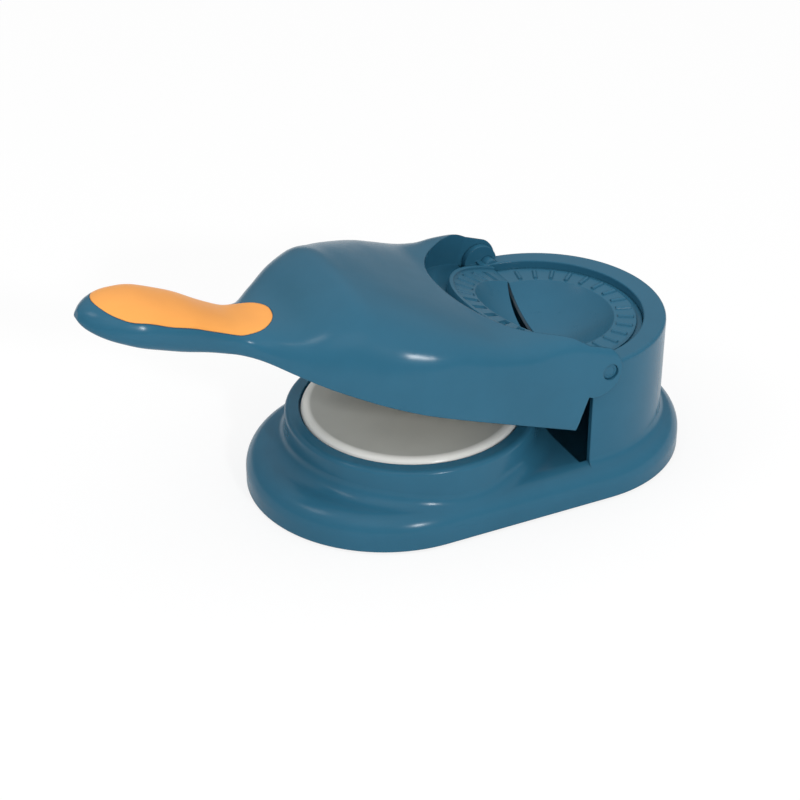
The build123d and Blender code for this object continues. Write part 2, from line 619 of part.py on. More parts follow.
def lever_section(station, inset, drop):
    """Closed outline of the lever at one station, inset by a wall and dropped below its rim."""
    x, half_width, bottom, share, middle, crown, square = station
    w = half_width - inset
    flat = w * share
    low = bottom - drop
    rise = crown - inset - middle
    corner = min(1.0, 0.5 + 2 * square / 3)
    round_off = 0.55

    def at(y, z):
        return Vector(x, y, z)

    foot_y = flat + round_off * (w - flat)
    foot_z = middle - round_off * (middle - low)
    left_foot = [at(flat, low), at(foot_y, low), at(w, foot_z), at(w, middle)]
    left_crown = [
        at(w, middle),
        at(w, middle + square * rise),
        at(corner * w, middle + corner * rise),
        at(square * w, middle + rise),
        at(0, middle + rise),
    ]
    right_crown = [at(-p.Y, p.Z) for p in reversed(left_crown)]
    right_foot = [at(-p.Y, p.Z) for p in reversed(left_foot)]
    edges = [Line(at(-flat, low), at(flat, low))]
    for points in (left_foot, left_crown, right_crown, right_foot):
        edges.append(Bezier(*points))
    return make_face(edges)


def lever_block(inset, drop, front):
    """Solid inside of the lever's outline, from a front position to the hinge."""
    return loft([lever_section(s, inset, drop) for s in lever_stations(front)])


def grip_prism(grow, low):
    """Upright prism over the grip inlay's outline, grown by a clearance."""
    rear, *side, tip = [(HOOD_FRONT - ahead, half) for ahead, half in GRIP_OUTLINE]
    half = [Vector(x, y + grow) for x, y in side]
    start = [Vector(rear[0] + grow, 0)]
    end = [Vector(tip[0] - grow, 0)]
    mirrored = [Vector(p.X, -p.Y) for p in reversed(half)]
    outline = make_face(Spline(*(start + half + end + mirrored), periodic=True))
    return Pos(0, 0, low) * extrude(outline, TALL)


def arm_trim():
    """What is cut away behind the skirt and round the arms' rear ends."""
    lobe = cross_rod(LOBE_X, LOBE_Z, LOBE_RADIUS, -TALL, TALL)
    below = block((SKIRT_REAR, -TALL, 0), (TALL, TALL, LOBE_Z))
    above = block((LOBE_X, -TALL, LOBE_Z), (TALL, TALL, TALL))
    return below + above - lobe


def mould_cradle(low, high):
    """Drum segment under the front mould, up to the fold line."""
    drum = rod(-OPENING_X, 0, CRADLE_RADIUS, low, high)
    return drum & block((-TALL, -TALL, 0), (-MOULD_EDGE, TALL, TALL))


def lever_cavity():
    """Hollow of the lever, less the posts and the drum that carries the front mould."""
    drum = rod(CUT_X, 0, CUT_RADIUS + LEVER_WALL, CRADLE_BOTTOM, TALL)
    drum = drum & block((-TALL, -TALL, 0), (-MOULD_EDGE, TALL, TALL))
    cavity = lever_block(LEVER_WALL, OVER, CAVITY_FRONT) - drum
    for x, y in LEVER_POSTS:
        cavity -= rod(x, y, POST_RADIUS, COVER_TOP, TALL)
    return cavity


def mould_trench():
    """Round cut in the lever's crown, round the cradle of the front mould."""
    trench = rod(CUT_X, 0, CUT_RADIUS, TRENCH_FLOOR, TALL)
    trench = trench & block((-TALL, -ARM_INNER, 0), (TALL, ARM_INNER, TALL))
    trench -= mould_cradle(TRENCH_FLOOR - OVER, CRADLE_TOP)
    return trench + rod(-OPENING_X, 0, OPENING_RADIUS - LEDGE_WIDTH, 0, TALL)


def lever_shell():
    """Lever moulding: press hood, hinge arms, mould cradle and handle."""
    shell = lever_block(0, 0, LEVER_STATIONS[0][0]) - lever_cavity() - mould_trench()
    for side in (-1, 1):
        low, high = sorted((side * CRADLE_RADIUS, side * ARM_INNER))
        shell -= block((TRENCH_REAR, low, 0), (TALL, high, TALL))
    shell -= arm_trim()
    shell -= hinge_bores(PIN_RADIUS + RUNNING_FIT)
    shell -= grip_prism(GRIP_FIT, GRIP_FLOOR)
    for x, y in LEVER_POSTS:
        hole_top = COVER_BOTTOM + COVER_SCREW_LENGTH + SCREW_TIP_GAP
        shell -= rod(x, y, SCREW_RADIUS + SCREW_BITE, COVER_TOP - OVER, hole_top)
    for x, y in FRONT_MOULD_SCREWS:
        shell -= rod(x, y, SCREW_RADIUS + SCREW_CLEAR, CRADLE_BOTTOM - OVER, CRADLE_TOP + OVER)
    for x, y in GRIP_SCREWS:
        shell -= rod(x, y, SCREW_RADIUS + SCREW_CLEAR, 0, GRIP_FLOOR + OVER)
        shell -= rod(x, y, SCREW_HEAD_RADIUS + SCREW_CLEAR, 0, GRIP_FLOOR - GRIP_WALL)
    return shell


def grip_inlay():
    """Coloured inlay on top of the handle."""
    inlay = lever_block(0, 0, LEVER_STATIONS[0][0]) & grip_prism(0, GRIP_FLOOR)
    hole_top = GRIP_FLOOR - GRIP_WALL + GRIP_SCREW_LENGTH + SCREW_TIP_GAP
    for x, y in GRIP_SCREWS:
        inlay -= rod(x, y, SCREW_RADIUS + SCREW_BITE, GRIP_FLOOR - OVER, hole_top)
    return inlay


def grip_screws():
    """Screws up through the handle into the inlay."""
    return group(screw_up(x, y, GRIP_FLOOR - GRIP_WALL, GRIP_SCREW_LENGTH) for x, y in GRIP_SCREWS)


def underside_cover():
    """Lid that closes the lever from below and carries the press disc."""
    filling = lever_block(LEVER_WALL + COVER_FIT, OVER, CAVITY_FRONT + COVER_FIT)
    cover = filling & block((-TALL, -TALL, COVER_BOTTOM), (COVER_REAR, TALL, COVER_TOP))
    for x, y in LEVER_POSTS + DISC_SCREWS:
        cover -= rod(x, y, SCREW_RADIUS + SCREW_CLEAR, 0, TALL)
    return cover


def underside_cover_screws():
    """Screws up through the lid into the lever's posts."""
    return group(screw_up(x, y, COVER_BOTTOM, COVER_SCREW_LENGTH) for x, y in LEVER_POSTS)


def press_disc():
    """White disc that flattens the dough."""
    low = COVER_BOTTOM - DISC_THICKNESS
    disc = rod(PLATFORM_X, 0, DISC_RADIUS, low, COVER_BOTTOM)
    disc = fillet(disc.faces().sort_by(Axis.Z)[0].edges(), DISC_EDGE)
    for x, y in DISC_SCREWS:
        disc -= rod(x, y, SCREW_RADIUS + SCREW_BITE, low + DISC_SKIN, COVER_BOTTOM + OVER)
    return disc


def press_disc_screws():
    """Screws down through the lid into the press disc."""
    length = COVER_THICKNESS + DISC_THICKNESS - DISC_SKIN - SCREW_TIP_GAP
    return group(screw_down(x, y, COVER_TOP, length) for x, y in DISC_SCREWS)


# ---------------------------------------------------------------- assembly
def base_parts():
    """Nodes that stand still."""
    parts = {
        "base_shell": base_shell(),
        "base_bottom_cover": base_bottom_cover(),
        "base_cover_screws": base_cover_screws(),
        "press_plate": press_plate(),
        "press_plate_screws": press_plate_screws(),
        "rear_mould": rear_mould(),
        "rear_mould_screws": rear_mould_screws(),
        "pivot_pin_left": pivot_pin(1),
        "pivot_pin_right": pivot_pin(-1),
    }
    for number, (x, y) in enumerate(PAD_PLACES, 1):
        parts[f"rubber_foot_{number}"] = rubber_foot(x, y)
    return parts


def lever_parts():
    """Nodes that swing with the lever, pressed shut."""
    return {
        "lever_shell": lever_shell(),
        "grip_inlay": grip_inlay(),
        "grip_screws": grip_screws(),
        "underside_cover": underside_cover(),
        "underside_cover_screws": underside_cover_screws(),
        "press_disc": press_disc(),
        "press_disc_screws": press_disc_screws(),
        "front_mould": front_mould(),
        "front_mould_screws": front_mould_screws(),
    }


def main():
    """Builds every node, sets the lever at rest and writes one STEP file for each."""
    os.makedirs("parts", exist_ok=True)
    raise_lever = Pos(0, 0, HINGE_Z) * Rot(0, LEVER_REST_ANGLE, 0) * Pos(0, 0, -HINGE_Z)
    nodes = base_parts()
    for name, shape in lever_parts().items():
        nodes[name] = raise_lever * shape
    rear = nodes["base_shell"].bounding_box().max.X
    front = nodes["lever_shell"].bounding_box().min.X
    shift = Pos(-(rear + front) / 2, 0, 0)
    print(f"hinge axis at x = {-(rear + front) / 2:.4f} mm, z = {HINGE_Z} mm")
    for name, shape in nodes.items():
        export_step(shift * shape, f"parts/{name}.step")


main()
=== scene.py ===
"""Looks of a dough press with a folding mould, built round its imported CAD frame."""

import logging
import math
from collections.abc import Iterable, Sequence
from dataclasses import dataclass
from enum import Enum

import bpy
from mathutils import Matrix, Vector


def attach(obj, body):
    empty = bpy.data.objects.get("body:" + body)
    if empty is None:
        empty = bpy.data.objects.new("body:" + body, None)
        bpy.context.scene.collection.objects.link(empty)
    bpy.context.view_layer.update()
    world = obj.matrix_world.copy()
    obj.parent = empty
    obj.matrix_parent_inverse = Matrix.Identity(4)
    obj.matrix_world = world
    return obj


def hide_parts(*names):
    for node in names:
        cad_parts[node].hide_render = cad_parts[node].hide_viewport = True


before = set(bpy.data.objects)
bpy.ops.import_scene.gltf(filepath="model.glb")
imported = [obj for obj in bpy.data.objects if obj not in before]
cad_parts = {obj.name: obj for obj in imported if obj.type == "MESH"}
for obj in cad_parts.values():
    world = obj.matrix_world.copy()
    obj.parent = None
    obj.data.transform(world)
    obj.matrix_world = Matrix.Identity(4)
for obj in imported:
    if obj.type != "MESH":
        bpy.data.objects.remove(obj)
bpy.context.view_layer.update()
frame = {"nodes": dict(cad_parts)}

MM = 0.001
Colour = tuple[float, ...]
Point = tuple[float, float]
Profile = Sequence[Point]
log = logging.getLogger("press")

# Places on the press in millimetres, measured from the hinge axis.
DISH_CENTRE = -62.2
DISH_SCREW_CIRCLE = 30.0
PLATE_RADIUS = 46.6
DISC_RADIUS = 46.4
REAR_MOULD_CENTRE = -3.0
FRONT_MOULD_CENTRE = 3.0
MOULD_SCREW_CIRCLE = 41.1


class Sock:
    """A shader output with arithmetic, so that maths reads as plain expressions."""

    def __init__(self, tree: bpy.types.NodeTree, output: bpy.types.NodeSocket) -> None:
        """Wraps one output of a node in a tree."""
        self.tree = tree
        self.output = output

    def _math(self, operation: str, *values: "float | Sock") -> "Sock":
        """Adds one Math node.

        Args:
            operation: name of the Math node's operation.
            values: numbers or sockets, in the node's order.

        Returns:
            The node's result.
        """
        node = self.tree.nodes.new("ShaderNodeMath")
        node.operation = operation
        for slot, value in zip(node.inputs, values):
            if isinstance(value, Sock):
                self.tree.links.new(value.output, slot)
            else:
                slot.default_value = value
        return Sock(self.tree, node.outputs[0])

    def __add__(self, other: "float | Sock") -> "Sock":
        """Sum."""
        return self._math("ADD", self, other)

    def __radd__(self, other: float) -> "Sock":
        """Sum with a number on the left."""
        return self._math("ADD", other, self)

    def __sub__(self, other: "float | Sock") -> "Sock":
        """Difference."""
        return self._math("SUBTRACT", self, other)

    def __rsub__(self, other: float) -> "Sock":
        """Difference from a number."""
        return self._math("SUBTRACT", other, self)

    def __mul__(self, other: "float | Sock") -> "Sock":
        """Product."""
        return self._math("MULTIPLY", self, other)

    def __rmul__(self, other: float) -> "Sock":
        """Product with a number on the left."""
        return self._math("MULTIPLY", other, self)

    def sine(self) -> "Sock":
        """Sine."""
        return self._math("SINE", self)

    def step(self, low: float, high: float) -> "Sock":
        """Smooth step from 0 at low to 1 at high.

        Args:
            low: value at which the result is 0.
            high: value at which the result is 1.

        Returns:
            The eased share, between 0 and 1.
        """
        node = self.tree.nodes.new("ShaderNodeMapRange")
        node.interpolation_type = "SMOOTHSTEP"
        self.tree.links.new(self.output, node.inputs["Value"])
        node.inputs["From Min"].default_value = low
        node.inputs["From Max"].default_value = high
        return Sock(self.tree, node.outputs["Result"])


class Shader:
    """One node material under construction, with its Principled shader."""

    BEVEL_SAMPLES = 6

    def __init__(self, name: str) -> None:
        """Starts a material.

        Args:
            name: the material's name.
        """
        self.material = bpy.data.materials.new(name)
        self.material.use_nodes = True
        self.tree = self.material.node_tree
        self.tree.nodes.clear()
        self.surface = self.tree.nodes.new("ShaderNodeBsdfPrincipled")
        end = self.tree.nodes.new("ShaderNodeOutputMaterial")
        self.tree.links.new(self.surface.outputs[0], end.inputs["Surface"])
        coordinates = self.tree.nodes.new("ShaderNodeTexCoord")
        self.place = Sock(self.tree, coordinates.outputs["Object"])

    def node(
        self,
        kind: str,
        settings: dict[str, object] | None = None,
        out: int | str = 0,
        **inputs: object,
    ) -> Sock:
        """Adds any node.

        Args:
            kind: the node's type name.
            settings: node properties, set before its sockets.
            out: output to return.
            inputs: socket values or links; underscores stand for spaces, and Vector_001 is
                the second vector socket.

        Returns:
            The chosen output.
        """
        made = self.tree.nodes.new(kind)
        for key, value in (settings or {}).items():
            setattr(made, key, value)
        for key, value in inputs.items():
            second = key == "Vector_001"
            slot = made.inputs[1] if second else made.inputs[key.replace("_", " ")]
            if isinstance(value, Sock):
                self.tree.links.new(value.output, slot)
            else:
                slot.default_value = value
        return Sock(self.tree, made.outputs[out])

    def noise(self, size: float, detail: float = 2.0, roughness: float = 0.5) -> Sock:
        """Noise between 0 and 1.

        Args:
            size: size of one blotch, in metres.
            detail: octaves.
            roughness: strength of the finer octaves.

        Returns:
            The noise value.
        """
        return self.node(
            "ShaderNodeTexNoise",
            None,
            "Fac",
            Vector=self.place,
            Scale=1.0 / size,
            Detail=detail,
            Roughness=roughness,
        )

    def blend(self, share: Sock, low: "Colour | Sock", high: "Colour | Sock") -> Sock:
        """Colour between two colours.

        Args:
            share: 0 for low, 1 for high.
            low: linear RGB or a link.
            high: linear RGB or a link.

        Returns:
            The mixed colour.
        """
        made = self.tree.nodes.new("ShaderNodeMix")
        made.data_type = "RGBA"
        self.tree.links.new(share.output, made.inputs[0])
        for slot, colour in ((made.inputs[6], low), (made.inputs[7], high)):
            if isinstance(colour, Sock):
                self.tree.links.new(colour.output, slot)
            else:
                slot.default_value = (*colour, 1.0)
        return Sock(self.tree, made.outputs[2])

    def distance(self, centre: Vector) -> Sock:
        """Distance of each point of the surface from a fixed point.

        Args:
            centre: the fixed point.

        Returns:
            The distance in metres.
        """
        return self.node(
            "ShaderNodeVectorMath",
            {"operation": "DISTANCE"},
            "Value",
            Vector=self.place,
            Vector_001=tuple(centre),
        )

    def feed(self, name: str, value: object) -> None:
        """Sets or links one input of the Principled shader.

        Args:
            name: the input's name.
            value: a plain value or a socket.
        """
        slot = self.surface.inputs[name]
        if isinstance(value, Sock):
            self.tree.links.new(value.output, slot)
        else:
            slot.default_value = value

    def relief(self, height: Sock, depth: float, edge: float = 0.0) -> None:
        """Bump, with softly rounded edges under it.

        Args:
            height: height between 0 and 1.
            depth: its full depth, in metres.
            edge: radius of the softened edges, in metres.
        """
        inputs: dict[str, object] = {"Height": height, "Distance": depth, "Strength": 1.0}
        if edge:
            inputs["Normal"] = self.node(
                "ShaderNodeBevel", {"samples": self.BEVEL_SAMPLES}, 0, Radius=edge
            )
        self.feed("Normal", self.node("ShaderNodeBump", None, 0, **inputs))


def linear(red: int, green: int, blue: int) -> Colour:
    """Linear colour from screen values between 0 and 255.

    Args:
        red: red on the screen.
        green: green on the screen.
        blue: blue on the screen.

    Returns:
        Linear red, green and blue.
    """

    def channel(value: int) -> float:
        """Linear value of one channel."""
        share = value / 255
        return share / 12.92 if share <= 0.04045 else ((share + 0.055) / 1.055) ** 2.4

    return channel(red), channel(green), channel(blue)


def scaled(colour: Colour, factor: float) -> Colour:
    """Colour made darker or lighter."""
    return tuple(min(1.0, part * factor) for part in colour)


@dataclass(frozen=True)
class Hinge:
    """The hinge axis and how far the lever stands open at rest."""

    x: float = 70.6591 * MM
    z: float = 61.0 * MM
    open_degrees: float = 20.0

    def opened(self) -> Matrix:
        """Turns a piece drawn on the shut lever up to where the lever rests.

        Returns:
            The turn about the hinge axis.
        """
        centre = Matrix.Translation((self.x, 0.0, self.z))
        turn = Matrix.Rotation(math.radians(self.open_degrees), 4, "Y")
        return centre @ turn @ centre.inverted()


HINGE = Hinge()


@dataclass(frozen=True)
class MouldedPlastic:
    """Injection-moulded plastic with faint flow marks and a fine tool texture."""

    name: str
    colour: Colour
    roughness: float = 0.2
    gloss: float = 0.18
    tint: float = 0.05
    cloud_size: float = 34 * MM
    flow_size: float = 7 * MM
    flow_share: float = 0.25
    grain: float = 0.5 * MM
    depth: float = 0.0015 * MM
    edge: float = 0.7 * MM

    def build(self) -> bpy.types.Material:
        """Makes the node material.

        Returns:
            The finished material.
        """
        shader = Shader(self.name)
        cloud = shader.noise(self.cloud_size, 2.0)
        speck = shader.noise(self.grain, 2.0, 0.6)
        flow = shader.noise(self.flow_size, 3.0, 0.55)
        share = (cloud * (1 - self.flow_share) + flow * self.flow_share).step(0.25, 0.75)
        dark, light = scaled(self.colour, 1 - self.tint), scaled(self.colour, 1 + self.tint)
        shader.feed("Base Color", shader.blend(share, dark, light))
        shader.feed("Roughness", self.roughness - 0.03 + flow * 0.06 + speck * 0.03)
        shader.feed("Specular IOR Level", self.gloss)
        shader.relief(speck, self.depth, self.edge)
        return shader.material


@dataclass(frozen=True)
class DishWithPaintedShade:
    """White dish whose floor colour is painted a darker grey as shade and whose rim shows the
    plain white, a little less rough.
    """

    name: str
    floor: Colour
    rim: Colour
    centre: tuple[float, float, float]
    radius: float
    # Distance in from the edge at which the floor's painted shade starts to fade into the white
    # rim.
    painted_shade_ends: float = 4.6 * MM
    rim_begins: float = 2.6 * MM
    ring_pitch: float = 0.55 * MM
    tint: float = 0.04

    def build(self) -> bpy.types.Material:
        """Makes the node material.

        Returns:
            The finished material.
        """
        shader = Shader(self.name)
        away = shader.distance(Vector(self.centre))
        # Share of the white rim: 0 where the floor's painted shade lies, 1 on the rim.
        rim_past_painted_shade = away.step(self.radius - self.painted_shade_ends, self.radius - self.rim_begins)
        cloud = shader.noise(26 * MM, 2.0)
        speck = shader.noise(0.4 * MM, 2.0, 0.6)
        rings = (away * (math.tau / self.ring_pitch)).sine() * 0.5 + 0.5
        dark, light = scaled(self.floor, 1 - self.tint), scaled(self.floor, 1 + self.tint)
        tone = shader.blend(cloud.step(0.3, 0.7), dark, light)
        # Painted shade: the floor colour is greyer than the white rim, standing in for the shade
        # over the dish.
        shader.feed("Base Color", shader.blend(rim_past_painted_shade, tone, self.rim))
        shader.feed("Roughness", 0.34 - rim_past_painted_shade * 0.12 + speck * 0.04)
        shader.feed("Specular IOR Level", 0.4)
        shader.relief(speck * 0.5 + rings * (1 - rim_past_painted_shade) * 0.5, 0.004 * MM, 0.3 * MM)
        return shader.material


@dataclass(frozen=True)
class SoftRubber:
    """Dark rubber with a dusty, uneven surface."""

    name: str
    colour: Colour
    dust_lift: float = 2.2

    def build(self) -> bpy.types.Material:
        """Makes the node material.

        Returns:
            The finished material.
        """
        shader = Shader(self.name)
        dust = shader.noise(3 * MM, 4.0, 0.6)
        grain = shader.noise(0.25 * MM, 2.0)
        dusty = scaled(self.colour, self.dust_lift)
        shader.feed("Base Color", shader.blend(dust.step(0.4, 0.8), self.colour, dusty))
        shader.feed("Roughness", 0.72 + dust * 0.15)
        shader.relief(grain, 0.02 * MM, 0.3 * MM)
        return shader.material


@dataclass(frozen=True)
class TurnedSteel:
    """Bright steel with fine scratches and darker stains."""

    name: str
    colour: Colour
    stain_depth: float = 0.8

    def build(self) -> bpy.types.Material:
        """Makes the node material.

        Returns:
            The finished material.
        """
        shader = Shader(self.name)
        stain = shader.noise(1.2 * MM, 4.0, 0.65)
        scratch = shader.noise(0.12 * MM, 3.0, 0.7)
        stained = scaled(self.colour, self.stain_depth)
        shader.feed("Base Color", shader.blend(stain.step(0.3, 0.7), stained, self.colour))
        shader.feed("Metallic", 1.0)
        shader.feed("Roughness", 0.24 + stain * 0.14)
        shader.relief(scratch, 0.006 * MM, 0.12 * MM)
        return shader.material


class Finish(Enum):
    """The finishes on this object."""

    BODY = MouldedPlastic("body_plastic", linear(46, 101, 127))
    MOULD = MouldedPlastic("mould_plastic", linear(48, 103, 129), roughness=0.27)
    GRIP = MouldedPlastic("grip_plastic", linear(255, 172, 88), roughness=0.34)
    PLATE = DishWithPaintedShade(
        "plate_plastic",
        # Painted shade: the plate's floor is painted grey (184) for the shade under the raised
        # lever, and its rim keeps the white (240).
        floor=linear(184, 184, 178),
        rim=linear(240, 239, 234),
        centre=(HINGE.x + DISH_CENTRE * MM, 0.0, 33.0 * MM),
        radius=PLATE_RADIUS * MM,
    )
    DISC = DishWithPaintedShade(
        "disc_plastic",
        # Painted shade: the disc's floor is painted a little greyer (222) than its white rim
        # (240).
        floor=linear(222, 221, 215),
        rim=linear(240, 239, 234),
        centre=tuple(HINGE.opened() @ Vector((HINGE.x + DISH_CENTRE * MM, 0.0, 34.6 * MM))),
        radius=DISC_RADIUS * MM,
    )
    RUBBER = SoftRubber("foot_rubber", (0.022, 0.022, 0.024))
    STEEL = TurnedSteel("screw_steel", (0.62, 0.62, 0.63))


class Frame(Enum):
    """The two bodies that pieces ride on."""

    BASE = "base"
    LEVER = "lever"


class Wardrobe:
    """Builds each finish once and puts it on pieces and CAD nodes."""

    def __init__(self) -> None:
        """Builds all the finishes."""
        self.materials = {finish: finish.value.build() for finish in Finish}

    def dress(self, target: bpy.types.Object, finish: Finish) -> None:
        """Puts a finish on an object in place of what it wore."""
        target.data.materials.clear()
        target.data.materials.append(self.materials[finish])

    def fit(self, piece: bpy.types.Object, finish: Finish, frame_of: Frame, *nodes: str) -> None:
        """Finishes a new piece, lets it ride on its body and hides what it stands for.

        Args:
            piece: the finished mesh.
            finish: what it is made of.
            frame_of: the body that it rides on.
            nodes: the CAD nodes that it replaces.
        """
        self.dress(piece, finish)
        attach(piece, frame_of.value)
        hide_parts(*nodes)
        log.info("made %s on %s for %s", piece.name, frame_of.value, ", ".join(nodes))

    def dress_nodes(self, names: Iterable[str], finish: Finish) -> None:
        """Puts a finish on CAD nodes.

        Args:
            names: the nodes' names.
            finish: what they are made of.
        """
        for name in names:
            node = frame["nodes"][name]
            if node.material_slots:
                for slot in node.material_slots:
                    slot.material = self.materials[finish]
            else:
                node.data.materials.append(self.materials[finish])
            log.info("dressed %s in %s", name, finish.name)


class Bench:
    """Bpy operators as small steps: every step starts with nothing else selected."""

    @staticmethod
    def only(*targets: bpy.types.Object) -> None:
        """Selects some objects alone and makes the first one active.

        Args:
            targets: the objects.
        """
        if bpy.context.object and bpy.context.object.mode != "OBJECT":
            bpy.ops.object.mode_set(mode="OBJECT")
        bpy.ops.object.select_all(action="DESELECT")
        for target in targets:
            target.select_set(True)
        bpy.context.view_layer.objects.active = targets[0]

    @staticmethod
    def turned(name: str, profile: Profile, sides: int) -> bpy.types.Object:
        """Turns a closed profile about the Z axis, by extruding one face up ring by ring.

        Args:
            name: the piece's name.
            profile: radius and height of each ring in millimetres, from the middle of one
                end round the outside to the middle of the other.
            sides: corners of each ring.

        Returns:
            The turned piece, its axis on the Z axis.
        """
        radius, height = profile[0]
        bpy.ops.object.select_all(action="DESELECT")
        bpy.ops.mesh.primitive_circle_add(
            vertices=sides, radius=radius * MM, fill_type="NGON", location=(0, 0, height * MM)
        )
        made = bpy.context.object
        made.name = name
        bpy.ops.object.transform_apply(location=True, rotation=False, scale=False)
        bpy.ops.object.mode_set(mode="EDIT")
        bpy.ops.mesh.select_all(action="SELECT")
        for near, far in zip(profile, profile[1:]):
            rise = (far[1] - near[1]) * MM
            bpy.ops.mesh.extrude_region_move(TRANSFORM_OT_translate={"value": (0, 0, rise)})
            share = far[0] / near[0]
            bpy.ops.transform.resize(value=(share, share, 1), center_override=(0, 0, far[1] * MM))
        bpy.ops.mesh.select_all(action="SELECT")
        bpy.ops.mesh.normals_make_consistent(inside=False)
        bpy.ops.object.mode_set(mode="OBJECT")
        return made

    @staticmethod
    def smooth(piece: bpy.types.Object, degrees: float = 40.0) -> None:
        """Shades a piece smooth, but keeps edges that are sharper than an angle."""
        Bench.only(piece)
        bpy.ops.object.shade_smooth_by_angle(angle=math.radians(degrees))

    @staticmethod
    def carve(piece: bpy.types.Object, cutter: bpy.types.Object) -> None:
        """Cuts one solid out of another and deletes the cutter.

        Args:
            piece: the solid that stays.
            cutter: the solid that is taken out of it.
        """
        Bench.only(piece)
        cut = piece.modifiers.new("cut", "BOOLEAN")
        cut.operation = "DIFFERENCE"
        cut.solver = "EXACT"
        cut.object = cutter
        bpy.ops.object.modifier_apply(modifier=cut.name)
        bpy.data.objects.remove(cutter)

    @staticmethod
    def copied(piece: bpy.types.Object, name: str) -> bpy.types.Object:
        """Copies a piece with its mesh.

        Args:
            piece: the piece to copy.
            name: the copy's name.

        Returns:
            The copy, with its own mesh.
        """
        twin = piece.copy()
        twin.data = piece.data.copy()
        twin.name = name
        bpy.context.scene.collection.objects.link(twin)
        return twin

    @staticmethod
    def place(piece: bpy.types.Object, matrix: Matrix) -> None:
        """Moves a piece and puts its place into its mesh.

        Args:
            piece: the piece.
            matrix: where it goes.
        """
        Bench.only(piece)
        piece.matrix_world = matrix
        bpy.ops.object.transform_apply(location=True, rotation=True, scale=True)

    @staticmethod
    def joined(pieces: Sequence[bpy.types.Object], name: str) -> bpy.types.Object:
        """Joins loose solids into one object.

        Args:
            pieces: the solids.
            name: the object's name.

        Returns:
            The object that holds them all.
        """
        Bench.only(*pieces)
        bpy.ops.object.join()
        whole = bpy.context.object
        whole.name = name
        return whole


def circle_places(x: float, radius: float, degrees: Iterable[float]) -> list[Point]:
    """Places on a circle about (x, 0).

    Args:
        x: the circle's centre, in millimetres.
        radius: its radius, in millimetres.
        degrees: directions of the places.

    Returns:
        The places, in millimetres.
    """
    return [
        (x + radius * math.cos(math.radians(a)), radius * math.sin(math.radians(a)))
        for a in degrees
    ]


@dataclass(frozen=True)
class ScrewRow:
    """One node's screws in millimetres, drawn on the shut lever where they ride on it.

    The seat is the height of the face under the heads, and down says that the tips point down.
    """

    node: str
    frame: Frame
    places: tuple[Point, ...]
    seat: float
    length: float
    down: bool = False


SCREW_ROWS = (
    ScrewRow(
        "base_cover_screws",
        Frame.BASE,
        (
            *circle_places(DISH_CENTRE, 38.0, (60, 180, 300)),
            *circle_places(-0.5, 48.8, (70, -70)),
        ),
        seat=2.5,
        length=10.0,
    ),
    ScrewRow(
        "press_plate_screws",
        Frame.BASE,
        tuple(circle_places(DISH_CENTRE, DISH_SCREW_CIRCLE, (90, 210, 330))),
        seat=27.7,
        length=4.4,
    ),
    ScrewRow(
        "rear_mould_screws",
        Frame.BASE,
        tuple(circle_places(REAR_MOULD_CENTRE, MOULD_SCREW_CIRCLE, (0, 56.4, -56.4))),
        seat=55.0,
        length=4.4,
    ),
    ScrewRow(
        "front_mould_screws",
        Frame.LEVER,
        tuple(circle_places(FRONT_MOULD_CENTRE, MOULD_SCREW_CIRCLE, (180, 123.6, -123.6))),
        seat=54.5,
        length=5.8,
    ),
    ScrewRow(
        "grip_screws",
        Frame.LEVER,
        ((-149.9, 0.0), (-183.9, 0.0)),
        seat=34.0,
        length=7.5,
    ),
    ScrewRow(
        "underside_cover_screws",
        Frame.LEVER,
        (*circle_places(DISH_CENTRE, 52.8, (180, 134, 226)), (-20.0, 47.0), (-20.0, -47.0)),
        seat=37.2,
        length=10.0,
    ),
    ScrewRow(
        "press_disc_screws",
        Frame.LEVER,
        tuple(circle_places(DISH_CENTRE, DISH_SCREW_CIRCLE, (30, 150, 270))),
        seat=39.6,
        length=4.1,
        down=True,
    ),
)


